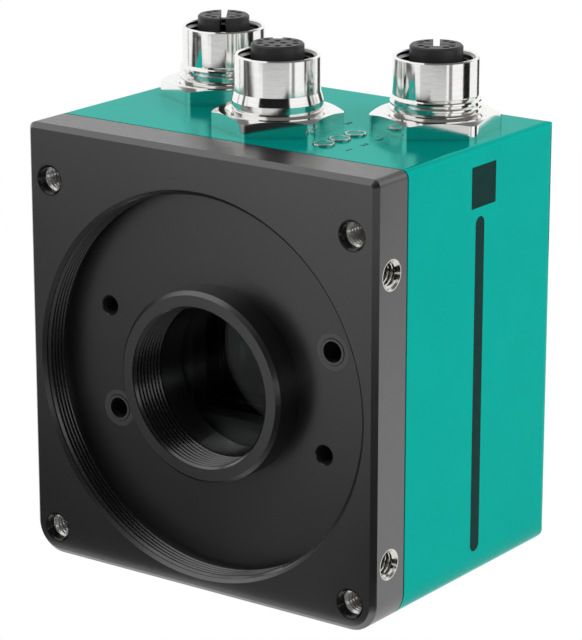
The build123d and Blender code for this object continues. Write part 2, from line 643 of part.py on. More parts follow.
def housing():
    form = housing_shell()
    form -= slab(cavity_outline(), HOUSING_FRONT, CAVITY_BACK)
    for x, z in TIE_PLACES:
        form += rod(x, z, TIE_BOSS_RADIUS, CAVITY_BACK - TIE_BOSS_LENGTH, CAVITY_BACK)
    for x, depth in HANGERS:
        form += post(x, depth, HANGER_RADIUS, SOCKET_BOARD_TOP, CAVITY_TOP)
    pad_back = PROCESSOR_BOARD_BACK + PROCESSOR_THICKNESS + THERMAL_PAD_THICKNESS
    centre = Pos(0, LENS_HEIGHT + PROCESSOR_RISE)
    form += slab(centre * Rectangle(PROCESSOR_SIZE, PROCESSOR_SIZE), pad_back, CAVITY_BACK)
    for name, x, depth in SOCKET_PLACES:
        form -= post(x, depth, NECK_RADIUS + NECK_CLEARANCE, CAVITY_TOP, BODY_HEIGHT)
    for depth in LIGHT_DEPTHS:
        form -= post(LIGHT_X, depth, LIGHT_RADIUS + SCREW_CLEARANCE / 2, CAVITY_TOP, BODY_HEIGHT)
    for x, z in TIE_PLACES:
        form -= rod(x, z, TIE_SHANK_RADIUS + SCREW_CLEARANCE, CAVITY_BACK - TIE_BOSS_LENGTH, BODY_DEPTH)
        form -= rod(x, z, TIE_HEAD_RADIUS + SCREW_CLEARANCE, TIE_SEAT, BODY_DEPTH)
    for x, depth in HANGERS:
        hole_top = SOCKET_BOARD_TOP + SMALL_SCREW_REACH
        form -= post(x, depth, SMALL_SCREW_RADIUS + PRESS_CLEARANCE, SOCKET_BOARD_TOP, hole_top)
    return form


def housing_seal():
    outer = body_outline(
        SEAL_INSET,
        BODY_HEIGHT - SEAL_INSET,
        LOWER_CORNER_RADIUS - SEAL_INSET,
        UPPER_CORNER_RADIUS - SEAL_INSET,
    )
    return slab(outer - cavity_outline(), PLATE_THICKNESS, HOUSING_FRONT)


def tie_screws():
    """Long socket-head screws from the back wall to the lugs of the plate."""
    screws = []
    for x, z in TIE_PLACES:
        front = PLATE_THICKNESS + TIE_LUG_FLOOR + SCREW_CLEARANCE
        back = TIE_SEAT + TIE_HEAD_HEIGHT
        screw = rod(x, z, TIE_SHANK_RADIUS, front, TIE_SEAT) + rod(x, z, TIE_HEAD_RADIUS, TIE_SEAT, back)
        key = slab(Pos(x, z) * RegularPolygon(TIE_KEY_RADIUS, 6), back - TIE_KEY_DEPTH, back)
        screws.append(screw - key)
    return screws


def socket_outline():
    """Outside of a threaded socket body from its tail to the rim, as (radius, height) points."""
    top = BODY_HEIGHT
    return [
        (TAIL_RADIUS, TAIL_BOTTOM),
        (TAIL_RADIUS, FLANGE_BOTTOM),
        (FLANGE_RADIUS, FLANGE_BOTTOM),
        (FLANGE_RADIUS, FLANGE_TOP),
        (NECK_RADIUS, FLANGE_TOP),
        (NECK_RADIUS, top + SLEEVE_FOOT - RIM_OUTER_CHAMFER),
        (NECK_RADIUS - RIM_OUTER_CHAMFER, top + SLEEVE_FOOT),
        (SLEEVE_RADIUS, top + SLEEVE_FOOT),
        (SLEEVE_RADIUS, top + SOCKET_RIM_HEIGHT - RIM_OUTER_CHAMFER),
        (SLEEVE_RADIUS - RIM_OUTER_CHAMFER, top + SOCKET_RIM_HEIGHT),
    ]


def plain_socket_outline():
    """Outside of the middle socket: a smooth neck with two grooves and a cone up to the sleeve."""
    top = BODY_HEIGHT
    groove = NECK_RADIUS - NECK_GROOVE_DEPTH
    low = top + NECK_GROOVE_HEIGHT
    high = low + NECK_GROOVE_WIDTH
    return [
        (TAIL_RADIUS, TAIL_BOTTOM),
        (TAIL_RADIUS, FLANGE_BOTTOM),
        (FLANGE_RADIUS, FLANGE_BOTTOM),
        (FLANGE_RADIUS, FLANGE_TOP),
        (NECK_RADIUS, FLANGE_TOP),
        (NECK_RADIUS, low),
        (groove, low),
        (groove, high),
        (NECK_RADIUS, high),
        (NECK_RADIUS, top + CONE_FOOT),
        (SLEEVE_RADIUS, top + SLEEVE_FOOT),
        (SLEEVE_RADIUS, top + SOCKET_RIM_HEIGHT - RIM_OUTER_CHAMFER),
        (SLEEVE_RADIUS - RIM_OUTER_CHAMFER, top + SOCKET_RIM_HEIGHT),
    ]


def socket_bore():
    """Inside of a socket body from the rim down to the tail, as (radius, height) points."""
    rim = BODY_HEIGHT + SOCKET_RIM_HEIGHT
    floor = BODY_HEIGHT + SLEEVE_BORE_FLOOR - CORE_COLLAR_HEIGHT
    stem = CORE_STEM_RADIUS + CORE_CLEARANCE
    return [
        (SLEEVE_BORE_RADIUS + RIM_CHAMFER, rim),
        (SLEEVE_BORE_RADIUS, rim - RIM_CHAMFER),
        (SLEEVE_BORE_RADIUS, floor),
        (stem, floor),
        (stem, TAIL_BOTTOM),
    ]


def socket_body(name, x, depth):
    outline = plain_socket_outline() if name not in NECK_FLAT_TURNS else socket_outline()
    shell = turned_upright(x, depth, outline + socket_bore())
    if name in NECK_FLAT_TURNS:
        shell -= neck_flat(x, depth, NECK_FLAT_TURNS[name])
    return shell


def neck_flat(x, depth, turn):
    """Block that mills a flat on the threaded neck above the nut."""
    thickness = NECK_RADIUS
    centre = Pos(x, FRONT_Y + depth) * Rot(0, 0, turn) * Pos(NECK_FLAT_DISTANCE + thickness / 2, 0)
    bottom = BODY_HEIGHT + NUT_HEIGHT
    return layer(centre * Rectangle(thickness, 2 * NECK_RADIUS), bottom, BODY_HEIGHT + SLEEVE_FOOT)


def contact_spots(name, turn):
    """Places of a socket's contacts round its own axis."""
    if name == "middle":
        step = 360 / (OUTER_CONTACT_COUNT + 1)
        spots = [(OUTER_CONTACT_RADIUS, turn + 90 + step * (i + 1)) for i in range(OUTER_CONTACT_COUNT)]
        inner_step = 360 / INNER_CONTACT_COUNT
        spots += [(INNER_CONTACT_RADIUS, turn + 90 + inner_step * i) for i in range(INNER_CONTACT_COUNT)]
    else:
        quarters = [turn + 45 + 90 * quarter for quarter in range(4)]
        spots = [(PAIR_RADIUS, angle + side * PAIR_HALF_ANGLE) for angle in quarters for side in (-1, 1)]
    return [(r * math.cos(math.radians(a)), r * math.sin(math.radians(a))) for r, a in spots]


def socket_core(name, x, depth, turn):
    """Moulded contact carrier with its collar, key groove, contact holes and shield slots."""
    top = BODY_HEIGHT + CORE_HEIGHT
    collar_top = BODY_HEIGHT + SLEEVE_BORE_FLOOR
    collar_bottom = collar_top - CORE_COLLAR_HEIGHT
    core = turned_upright(x, depth, [
        (0, TAIL_BOTTOM),
        (CORE_STEM_RADIUS, TAIL_BOTTOM),
        (CORE_STEM_RADIUS, collar_bottom),
        (SLEEVE_BORE_RADIUS - CORE_CLEARANCE, collar_bottom),
        (SLEEVE_BORE_RADIUS - CORE_CLEARANCE, collar_top),
        (CORE_RADIUS, collar_top),
        (CORE_RADIUS, top - CORE_EDGE_CHAMFER),
        (CORE_RADIUS - CORE_EDGE_CHAMFER, top),
        (0, top),
    ])
    place = Pos(x, FRONT_Y + depth) * Rot(0, 0, turn)
    if name in KEY_SLOT_FRONTS:
        core -= layer(place * shield_slots(KEY_SLOT_FRONTS[name]), top - SLOT_DEPTH, top)
    else:
        key = place * Pos(0, CORE_RADIUS) * Rectangle(KEY_WIDTH, 2 * KEY_DEPTH)
        core -= layer(key, collar_top, top)
    hole_radius = CONTACT_RADIUS + CORE_CLEARANCE
    for dx, dy in contact_spots(name, turn):
        spot = Pos(x + dx, FRONT_Y + depth + dy)
        core -= layer(spot * Circle(hole_radius), TAIL_BOTTOM, top)
        mouth = Cone(hole_radius, CONTACT_MOUTH_RADIUS, CONTACT_MOUTH_DEPTH)
        core -= spot * Pos(0, 0, top - CONTACT_MOUTH_DEPTH / 2) * mouth
    return core


def shield_slots(front):
    """Key slot from the back rim to a reach in front of the centre, with a thin slit on either side."""
    back = CORE_RADIUS
    key_slot = Pos(0, (back - front) / 2) * Rectangle(KEY_SLOT_WIDTH, back + front)
    return key_slot + Rectangle(2 * SLIT_REACH, SLIT_WIDTH)


def socket_contacts(name, x, depth, turn):
    """Contact sleeves, sunk below the face of the carrier and soldered into the socket board."""
    top = BODY_HEIGHT + CORE_HEIGHT - CONTACT_SINK
    spots = contact_spots(name, turn)
    return [post(x + dx, depth + dy, CONTACT_RADIUS, SOCKET_BOARD_TOP, top) for dx, dy in spots]


def socket_seal(x, depth):
    ring = Circle(FLANGE_RADIUS) - Circle(NECK_RADIUS + NECK_CLEARANCE)
    return layer(Pos(x, FRONT_Y + depth) * ring, FLANGE_TOP, CAVITY_TOP)


def socket_nut(x, depth, turn):
    """Hexagon locknut with rounded edges, a bevelled top and a shallow dish round the neck."""
    hexagon = RegularPolygon(NUT_ACROSS_FLATS / 2, 6, major_radius=False)
    hexagon = fillet(hexagon.vertices(), NUT_EDGE_RADIUS)
    place = Pos(x, FRONT_Y + depth) * Rot(0, 0, turn)
    top = BODY_HEIGHT + NUT_HEIGHT
    nut = layer(place * hexagon, BODY_HEIGHT, top)
    corner = NUT_ACROSS_FLATS
    slope = NUT_TOP_BEVEL_DROP / (NUT_ACROSS_FLATS / math.sqrt(3) - NUT_TOP_BEVEL_RADIUS)
    foot = top - slope * (corner - NUT_TOP_BEVEL_RADIUS)
    nut &= turned_upright(x, depth, [
        (0, BODY_HEIGHT - corner),
        (corner, BODY_HEIGHT - corner),
        (corner, foot),
        (NUT_TOP_BEVEL_RADIUS, top),
        (0, top),
    ])
    bore = NECK_RADIUS + NECK_CLEARANCE
    nut -= turned_upright(x, depth, [
        (0, BODY_HEIGHT),
        (bore, BODY_HEIGHT),
        (bore, top - NUT_DISH_DEPTH),
        (NUT_DISH_RADIUS, top),
        (0, top),
    ])
    return nut


def status_light_pipes():
    """Clear pipes: slightly domed window, flange under the top wall and a foot above the lamp."""
    pipes = []
    foot = SOCKET_BOARD_TOP + LAMP_HEIGHT + LAMP_GAP
    crown = BODY_HEIGHT + LIGHT_RISE
    for depth in LIGHT_DEPTHS:
        pipe = post(LIGHT_X, depth, LIGHT_RADIUS, foot, crown)
        pipe = chamfer(pipe.faces().sort_by(Axis.Z)[-1].edges(), LIGHT_DOME)
        flange_bottom = CAVITY_TOP - LIGHT_FLANGE_THICKNESS
        pipes.append(pipe + post(LIGHT_X, depth, light_flange_radius(), flange_bottom, CAVITY_TOP))
    return pipes


def light_flange_radius():
    """Flange radius, kept clear of the next pipe's flange."""
    pitch = LIGHT_DEPTHS[1] - LIGHT_DEPTHS[0]
    return min(LIGHT_FLANGE_RADIUS, pitch / 2 - SCREW_CLEARANCE)


def status_lamps():
    lamps = []
    for depth in LIGHT_DEPTHS:
        outline = Pos(LIGHT_X, FRONT_Y + depth) * Rectangle(LAMP_SIZE, LAMP_SIZE)
        lamps.append(layer(outline, SOCKET_BOARD_TOP, SOCKET_BOARD_TOP + LAMP_HEIGHT))
    return lamps


def all_nodes():
    nodes = {
        "front_plate": front_plate(),
        "front_thread_inserts": front_thread_inserts(),
        "side_thread_inserts": side_thread_inserts(),
        "recess_bushes": recess_bushes(),
        "window_glass": window_glass(),
        "window_gasket": window_gasket(),
        "sensor_mask": sensor_mask(),
        "mask_screws": mask_screws(),
        "sensor_package": sensor_package(),
        "sensor_die": sensor_die(),
        "sensor_cover_glass": sensor_cover_glass(),
        "sensor_board": sensor_board(),
        "board_spacers": board_spacers(),
        "board_link_plug": board_link_plug(),
        "board_link_receptacle": board_link_receptacle(),
        "processor_board": processor_board(),
        "processor_board_screws": processor_board_screws(),
        "processor_chip": processor_chip(),
        "memory_chips": memory_chips(),
        "thermal_pad": thermal_pad(),
        "pin_header": pin_header(),
        "socket_board": socket_board(),
        "socket_board_screws": socket_board_screws(),
        "status_lamps": status_lamps(),
        "status_light_pipes": status_light_pipes(),
        "housing": housing(),
        "housing_seal": housing_seal(),
        "tie_screws": tie_screws(),
    }
    for name, x, depth in SOCKET_PLACES:
        nodes[name + "_socket_body"] = socket_body(name, x, depth)
        nodes[name + "_socket_core"] = socket_core(name, x, depth, CORE_TURNS[name])
        nodes[name + "_socket_contacts"] = socket_contacts(name, x, depth, CORE_TURNS[name])
        nodes[name + "_socket_nut"] = socket_nut(x, depth, NUT_TURNS[name])
        nodes[name + "_socket_seal"] = socket_seal(x, depth)
    return nodes


def write_parts():
    os.makedirs("parts", exist_ok=True)
    for name, shape in all_nodes().items():
        if isinstance(shape, list):
            shape = Compound(children=shape)
        export_step(shape, f"parts/{name}.step")


write_parts()
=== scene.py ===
import json
import math
import bpy
import bmesh
from mathutils import Matrix, Vector


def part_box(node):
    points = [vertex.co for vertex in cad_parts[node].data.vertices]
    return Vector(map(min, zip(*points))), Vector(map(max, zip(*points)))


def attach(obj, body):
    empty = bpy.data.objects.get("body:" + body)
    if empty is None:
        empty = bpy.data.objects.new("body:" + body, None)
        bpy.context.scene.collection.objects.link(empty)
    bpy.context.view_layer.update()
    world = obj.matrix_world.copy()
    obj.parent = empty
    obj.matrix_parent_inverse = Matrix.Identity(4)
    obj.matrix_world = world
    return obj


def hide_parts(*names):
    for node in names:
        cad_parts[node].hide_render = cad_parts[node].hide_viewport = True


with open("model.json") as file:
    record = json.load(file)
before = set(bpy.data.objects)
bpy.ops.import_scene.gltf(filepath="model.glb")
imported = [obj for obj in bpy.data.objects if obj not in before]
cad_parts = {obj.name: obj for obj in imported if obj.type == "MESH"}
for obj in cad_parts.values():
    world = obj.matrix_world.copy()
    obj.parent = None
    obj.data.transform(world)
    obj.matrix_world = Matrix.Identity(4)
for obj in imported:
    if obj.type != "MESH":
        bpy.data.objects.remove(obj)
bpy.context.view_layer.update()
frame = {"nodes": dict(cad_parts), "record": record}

MM = 0.001
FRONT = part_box("front_plate")[0].y
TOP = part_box("front_plate")[1].z
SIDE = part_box("front_plate")[1].x
LENS_Z = 32.5 * MM

# Camera, as fitted to the photograph
CAMERA_AZIMUTH = math.radians(35.333)
CAMERA_ELEVATION = math.radians(17.253)
CAMERA_ROLL = math.radians(0.208)
CAMERA_DISTANCE = 455.22 * MM
CAMERA_AIM = Vector((24.08 * MM, FRONT, 40.01 * MM))
FOCAL_PIXELS = 3130.29
FRAME_HEIGHT_PIXELS = 640
CENTRE_SHIFT_PIXELS = (36.9, 49.2)
SENSOR_LENGTH = 36.0
CLIP_RANGE = (0.01, 20.0)


def add_camera():
    data = bpy.data.cameras.new("camera")
    data.sensor_width = SENSOR_LENGTH
    data.lens = FOCAL_PIXELS / FRAME_HEIGHT_PIXELS * SENSOR_LENGTH
    data.shift_x = -CENTRE_SHIFT_PIXELS[0] / FRAME_HEIGHT_PIXELS
    data.shift_y = CENTRE_SHIFT_PIXELS[1] / FRAME_HEIGHT_PIXELS
    data.clip_start, data.clip_end = CLIP_RANGE
    camera = bpy.data.objects.new("camera", data)
    bpy.context.scene.collection.objects.link(camera)
    cos_e = math.cos(CAMERA_ELEVATION)
    back = Vector((
        math.sin(CAMERA_AZIMUTH) * cos_e,
        -math.cos(CAMERA_AZIMUTH) * cos_e,
        math.sin(CAMERA_ELEVATION),
    ))
    level = Vector((math.cos(CAMERA_AZIMUTH), math.sin(CAMERA_AZIMUTH), 0))
    upright = back.cross(level)
    right = level * math.cos(CAMERA_ROLL) + upright * math.sin(CAMERA_ROLL)
    up = upright * math.cos(CAMERA_ROLL) - level * math.sin(CAMERA_ROLL)
    turn = Matrix((right, up, back)).transposed()
    camera.matrix_world = Matrix.Translation(CAMERA_AIM + back * CAMERA_DISTANCE) @ turn.to_4x4()
    bpy.context.scene.camera = camera


# Materials
def new_material(name):
    material = bpy.data.materials.new(name)
    material.use_nodes = True
    tree = material.node_tree
    return material, tree, tree.nodes["Principled BSDF"]


def node(tree, kind, **inputs):
    made = tree.nodes.new(kind)
    for key, value in inputs.items():
        made.inputs[key.replace("_", " ")].default_value = value
    return made


def object_coordinates(tree, scale):
    """Texture coordinates in metres times a scale, the same on every piece."""
    source = tree.nodes.new("ShaderNodeTexCoord")
    mapping = tree.nodes.new("ShaderNodeMapping")
    mapping.inputs["Scale"].default_value = scale
    tree.links.new(source.outputs["Object"], mapping.inputs["Vector"])
    return mapping.outputs["Vector"]


def noise(tree, scale, detail=3.0, stretch=(1, 1, 1)):
    texture = node(tree, "ShaderNodeTexNoise", Scale=scale, Detail=detail)
    tree.links.new(object_coordinates(tree, stretch), texture.inputs["Vector"])
    return texture.outputs["Fac"]


def ramp(tree, source, low, high, low_value, high_value):
    """Colour ramp from a factor: a grey or RGB at each end."""
    made = tree.nodes.new("ShaderNodeValToRGB")
    made.color_ramp.elements[0].position = low
    made.color_ramp.elements[1].position = high
    made.color_ramp.elements[0].color = (*low_value, 1)
    made.color_ramp.elements[1].color = (*high_value, 1)
    tree.links.new(source, made.inputs["Fac"])
    return made.outputs["Color"]


def grey_ramp(tree, source, stops):
    """Grey ramp through (factor, grey) stops."""
    made = tree.nodes.new("ShaderNodeValToRGB")
    elements = made.color_ramp.elements
    elements[0].position, elements[1].position = stops[0][0], stops[-1][0]
    elements[0].color = (*[stops[0][1]] * 3, 1)
    elements[1].color = (*[stops[-1][1]] * 3, 1)
    for position, grey in stops[1:-1]:
        elements.new(position).color = (grey, grey, grey, 1)
    tree.links.new(source, made.inputs["Fac"])
    return made.outputs["Color"]


def map_range(tree, source, first, last, low=0.0, high=1.0):
    made = node(tree, "ShaderNodeMapRange", From_Min=first, From_Max=last, To_Min=low, To_Max=high)
    tree.links.new(source, made.inputs["Value"])
    return made.outputs["Result"]


def uneven(tree, source, middle, share):
    """Spread a noise factor over a value, by a share to either side."""
    return map_range(tree, source, 0.3, 0.7, middle * (1 - share), middle * (1 + share))


def calculate(tree, operation, *values, clamp=False):
    """Result of one operation on sockets and plain numbers."""
    made = tree.nodes.new("ShaderNodeMath")
    made.operation = operation
    made.use_clamp = clamp
    for entry, value in zip(made.inputs, values):
        if isinstance(value, bpy.types.NodeSocket):
            tree.links.new(value, entry)
        else:
            entry.default_value = value
    return made.outputs["Value"]


def object_part(tree, axis):
    """One component of the place on the object, in metres."""
    coordinates = tree.nodes.new("ShaderNodeTexCoord")
    parts = tree.nodes.new("ShaderNodeSeparateXYZ")
    tree.links.new(coordinates.outputs["Object"], parts.inputs["Vector"])
    return parts.outputs[axis]


def bump(tree, shader, source, height, strength=1.0):
    made = node(tree, "ShaderNodeBump", Strength=strength, Distance=height)
    tree.links.new(source, made.inputs["Height"])
    tree.links.new(made.outputs["Normal"], shader.inputs["Normal"])


def anodised(name, colour, roughness, grain):
    """Black anodised aluminium: fine blasted grain and slight unevenness of tone."""
    material, tree, shader = new_material(name)
    tone = noise(tree, 60, 4)
    dark = tuple(c * 0.85 for c in colour)
    light = tuple(c * 1.15 for c in colour)
    tree.links.new(ramp(tree, tone, 0.35, 0.65, dark, light), shader.inputs["Base Color"])
    fine = noise(tree, 5000, 2)
    tree.links.new(uneven(tree, noise(tree, 900, 3), roughness, 0.08), shader.inputs["Roughness"])
    bump(tree, shader, fine, grain)
    shader.inputs["Metallic"].default_value = 0.0
    shader.inputs["IOR"].default_value = 2.15
    return material


def paint(name, colour, roughness, gloss):
    """Glossy tinted coat with a faint orange peel; its reflections take the tint of the coat."""
    material, tree, shader = new_material(name)
    dark = tuple(c * 0.985 for c in colour)
    light = tuple(c * 1.015 for c in colour)
    tree.links.new(ramp(tree, noise(tree, 90, 3), 0.4, 0.6, dark, light), shader.inputs["Base Color"])
    tree.links.new(uneven(tree, noise(tree, 1500, 2), roughness, 0.1), shader.inputs["Roughness"])
    bump(tree, shader, noise(tree, 1300, 2), 0.002 * MM)
    shader.inputs["Metallic"].default_value = 0.5
    shader.inputs["Specular IOR Level"].default_value = 0.05
    shader.inputs["Specular Tint"].default_value = (*gloss, 1)
    return material


def metal(name, colour, roughness, stretch=(1, 1, 1), grain=0.0008):
    """Bare or plated metal with turning marks."""
    material, tree, shader = new_material(name)
    dark = tuple(c * 0.93 for c in colour)
    tone = noise(tree, 400, 3, stretch)
    tree.links.new(ramp(tree, tone, 0.3, 0.7, dark, colour), shader.inputs["Base Color"])
    marks = noise(tree, 1200, 3, stretch)
    tree.links.new(uneven(tree, marks, roughness, 0.25), shader.inputs["Roughness"])
    bump(tree, shader, noise(tree, 2500, 2, stretch), grain * MM)
    shader.inputs["Metallic"].default_value = 1.0
    return material


DEEP_STEEL_METALLIC = 0.55


def deep_steel(name, mouth):
    """Thread insert, dark from the front face down to the mouth and bright steel behind it."""
    material = metal(name, (0.85, 0.84, 0.81), 0.14)
    tree = material.node_tree
    shader = tree.nodes["Principled BSDF"]
    deep = calculate(tree, "GREATER_THAN", object_part(tree, "Y"), FRONT + mouth)
    tree.links.new(calculate(tree, "MULTIPLY", deep, DEEP_STEEL_METALLIC), shader.inputs["Metallic"])
    steel = shader.inputs["Base Color"].links[0].from_socket
    tint = tree.nodes.new("ShaderNodeMixRGB")
    tint.inputs["Color1"].default_value = (0.006, 0.006, 0.006, 1)
    tree.links.new(deep, tint.inputs["Fac"])
    tree.links.new(steel, tint.inputs["Color2"])
    tree.links.new(tint.outputs["Color"], shader.inputs["Base Color"])
    return material


def moulded(name, colour, roughness, grain=0.004):
    """Moulded plastic or rubber with a fine grain."""
    material, tree, shader = new_material(name)
    dark = tuple(c * 0.88 for c in colour)
    tree.links.new(ramp(tree, noise(tree, 250, 3), 0.35, 0.65, dark, colour), shader.inputs["Base Color"])
    tree.links.new(uneven(tree, noise(tree, 2000, 2), roughness, 0.1), shader.inputs["Roughness"])
    bump(tree, shader, noise(tree, 4000, 2), grain * MM)
    shader.inputs["Specular IOR Level"].default_value = 0.38
    return material


def clear_glass(name, tint, gloss):
    """Thin coated glass that lets the parts behind it show."""
    material, tree, shader = new_material(name)
    shader.inputs["Base Color"].default_value = (*tint, 1)
    shader.inputs["Roughness"].default_value = gloss
    shader.inputs["Transmission Weight"].default_value = 1.0
    shader.inputs["IOR"].default_value = 1.45
    bump(tree, shader, noise(tree, 300, 2), 0.0003 * MM)
    return material


def printed(name, colour):
    """Screen-printed ink, slightly uneven."""
    material, tree, shader = new_material(name)
    dark = tuple(c * 0.8 for c in colour)
    tree.links.new(ramp(tree, noise(tree, 700, 3), 0.35, 0.65, dark, colour), shader.inputs["Base Color"])
    shader.inputs["Roughness"].default_value = 0.45
    shader.inputs["Specular IOR Level"].default_value = 0.06
    return material


def seen_directly(tree):
    """1 for camera, glossy and transmission rays, 0 for the diffuse light."""
    path = tree.nodes.new("ShaderNodeLightPath")
    total = path.outputs["Is Camera Ray"]
    for name in ("Is Glossy Ray", "Is Transmission Ray"):
        total = calculate(tree, "ADD", total, path.outputs[name], clamp=True)
    return total


def backdrop_material():
    """White surroundings for camera and reflections, with the object's shadow kept on the floor."""
    material, tree, shader = new_material("backdrop")
    shader.inputs["Base Color"].default_value = (0.82, 0.82, 0.82, 1)
    shader.inputs["Roughness"].default_value = 0.9
    glow = node(tree, "ShaderNodeEmission", Strength=1.0)
    mix = tree.nodes.new("ShaderNodeMixShader")
    tree.links.new(seen_directly(tree), mix.inputs["Fac"])
    tree.links.new(shader.outputs["BSDF"], mix.inputs[1])
    tree.links.new(glow.outputs["Emission"], mix.inputs[2])
    tree.links.new(mix.outputs["Shader"], tree.nodes["Material Output"].inputs["Surface"])
    return material


# Depth in mm to which the front inserts are dark and carry no thread
DARK_MOUTH = 1.5


def make_materials():
    gold = (0.83, 0.62, 0.25)
    return {
        "black_anodised": anodised("black_anodised", (0.006, 0.006, 0.006), 0.3, 0.0003 * MM),
        "teal_paint": paint("teal_paint", (0.0, 0.385, 0.325), 0.14, (0.05, 0.7, 0.62)),
        "stainless": metal("stainless", (0.72, 0.70, 0.66), 0.16),
        "black_steel": anodised("black_steel", (0.03, 0.03, 0.03), 0.35, 0.0004 * MM),
        "nickel": metal("nickel", (0.93, 0.925, 0.905), 0.11, (1, 1, 12)),
        "core_plastic": moulded("core_plastic", (0.02, 0.02, 0.02), 0.4),
        "contact_gold": metal("contact_gold", gold, 0.25),
        "window_glass": clear_glass("window_glass", (0.9, 0.97, 0.95), 0.02),
        "mask_plastic": moulded("mask_plastic", (0.05, 0.05, 0.05), 0.35),
        "ceramic": moulded("ceramic", (0.03, 0.028, 0.026), 0.5),
        "silicon": metal("silicon", (0.25, 0.27, 0.32), 0.08),
        "circuit_board": moulded("circuit_board", (0.004, 0.018, 0.01), 0.35),
        "brass": metal("brass", (0.72, 0.55, 0.25), 0.25),
        "connector_plastic": moulded("connector_plastic", (0.02, 0.02, 0.02), 0.5),
        "chip_resin": moulded("chip_resin", (0.015, 0.015, 0.015), 0.55),
        "thermal_pad": moulded("thermal_pad", (0.2, 0.24, 0.33), 0.8),
        "lamp_resin": moulded("lamp_resin", (0.7, 0.7, 0.5), 0.2),
        "light_pipe": paint("light_pipe", (0.0, 0.30, 0.25), 0.1, (0.05, 0.7, 0.62)),
        "seal_rubber": moulded("seal_rubber", (0.012, 0.012, 0.012), 0.7),
        "turned_black": anodised("turned_black", (0.005, 0.005, 0.005), 0.2, 0.0003 * MM),
        "ink": printed("ink", (0.0, 0.03, 0.026)),
        "bezel": metal("bezel", (0.55, 0.55, 0.54), 0.12),
        "front_insert_steel": deep_steel("front_insert_steel", DARK_MOUTH * MM),
        # painted shade: nickel darkened to a quarter for the threads deep inside the sleeves
        "painted_shade_nickel": metal("painted_shade_nickel", (0.25, 0.247, 0.24), 0.14),
        # painted shade: near-black, dull stand-in so the small holes in the recess floor read as shaded
        # inside
        "painted_shade_black": moulded("painted_shade_black", (0.003, 0.003, 0.003), 0.6, 0.001),
    }


MATERIALS = make_materials()
OWN_MATERIALS = {"front_thread_inserts": "front_insert_steel"}


def dress_nodes():
    """Give every carried-over piece the full material of its slot."""
    for part in frame["record"]["subparts"]:
        piece = frame["nodes"][part["node"]]
        piece.data.materials.clear()
        piece.data.materials.append(MATERIALS[OWN_MATERIALS.get(part["node"], part["material_slot"])])


# Threads: drawn on the plain walls of the solids, as (crest radius, root radius, start, end, pitch) in mm
FLANK_PHASES = ((0.0, 0.0), (0.25, 0.0), (0.5625, 1.0), (0.6875, 1.0))
ROOT_SINK = 0.02
MERGE_GAP = 0.0001
SHARP_ANGLE = math.radians(25)


def thread_share(phase):
    """Share of the thread's height cut away at a phase of its turn: 0 on the crest, 1 at the root."""
    phase %= 1.0
    for (low, at_low), (high, at_high) in zip(FLANK_PHASES, (*FLANK_PHASES[1:], (1.0, 0.0))):
        if phase <= high:
            return at_low + (at_high - at_low) * (phase - low) / (high - low)
    return 0.0


def thread_rows(thread, turn, mouth):
    """Points (radius, distance along) of a thread's surface in the half plane at a share of a turn."""
    crest, root, start, end, pitch = thread
    rows = []
    for step in range(-1, math.ceil((end - start) / pitch) + 1):
        for phase, share in FLANK_PHASES:
            along = min(max(start + (step + phase + turn) * pitch, start), end)
            radius = crest + (root - crest) * thread_share((along - start) / pitch - turn)
            lead = along - start
            radius = max(radius, mouth - lead) if crest < root else min(radius, mouth + lead)
            rows.append((radius, along))
    return rows


def turned_mesh(name, column, segments):
    """Closed mesh of revolution in mm, its loop of (radius, along) points given for each share of a turn."""
    form = bmesh.new()
    previous = None
    for index in range(segments + 1):
        turn = index / segments
        angle = math.tau * turn
        ring = []
        for radius, along in column(turn):
            ring.append(form.verts.new((radius * math.cos(angle), radius * math.sin(angle), along)))
        if previous:
            for i in range(len(ring)):
                j = (i + 1) % len(ring)
                form.faces.new((previous[i], ring[i], ring[j], previous[j]))
        previous = ring
    bmesh.ops.remove_doubles(form, verts=form.verts, dist=MERGE_GAP)
    bmesh.ops.dissolve_degenerate(form, edges=form.edges, dist=MERGE_GAP)
    bmesh.ops.recalc_face_normals(form, faces=form.faces)
    mesh = bpy.data.meshes.new(name)
    form.to_mesh(mesh)
    form.free()
    return mesh


def finish_mesh(mesh):
    for face in mesh.polygons:
        face.use_smooth = True
    mesh.set_sharp_from_angle(angle=SHARP_ANGLE)


def add_piece(name, mesh, slot, material=None):
    piece = bpy.data.objects.new(name, mesh)
    bpy.context.scene.collection.objects.link(piece)
    mesh.materials.append(material or MATERIALS[slot])
    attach(piece, "root")
    return piece


def joined(name, meshes):
    form = bmesh.new()
    for mesh in meshes:
        form.from_mesh(mesh)
    whole = bpy.data.meshes.new(name)
    form.to_mesh(whole)
    form.free()
    return whole


def placed(mesh, place, along):
    """Put a turned mesh, in mm, at a place in metres, with its axis along a direction."""
    turn = Vector(along).to_track_quat("Z", "X").to_matrix().to_4x4()
    mesh.transform(Matrix.Translation(place) @ turn @ Matrix.Scale(MM, 4))
    return mesh


def inner_thread(thread, segments, mouth):
    """Ring with a thread inside it, its plain back against the wall of the hole."""
    crest, root, start, end, pitch = thread
    back = root + 2 * ROOT_SINK

    def column(turn):
        return [(back, start), *thread_rows(thread, turn, mouth), (back, end)]

    return turned_mesh("thread", column, segments)


RECESS_THREAD = (29.57, 29.98, 0.5, 4.3, 0.75)
RECESS_THREAD_MOUTH = 29.98
RECESS_SEGMENTS = 288
LENS_THREAD = (12.27, 12.68, 0.2, 6.7, 0.794)
LENS_THREAD_MOUTH = 12.66
LENS_SEGMENTS = 192
INTO_FRONT = (0, 1, 0)


def add_plate_threads():
    recess = inner_thread(RECESS_THREAD, RECESS_SEGMENTS, RECESS_THREAD_MOUTH)
    boss = inner_thread(LENS_THREAD, LENS_SEGMENTS, LENS_THREAD_MOUTH)
    for name, mesh in (("recess_thread", recess), ("lens_thread", boss)):
        mesh = placed(mesh, (0, FRONT, LENS_Z), INTO_FRONT)
        finish_mesh(mesh)
        add_piece(name, mesh, "black_anodised", MATERIALS["turned_black"])


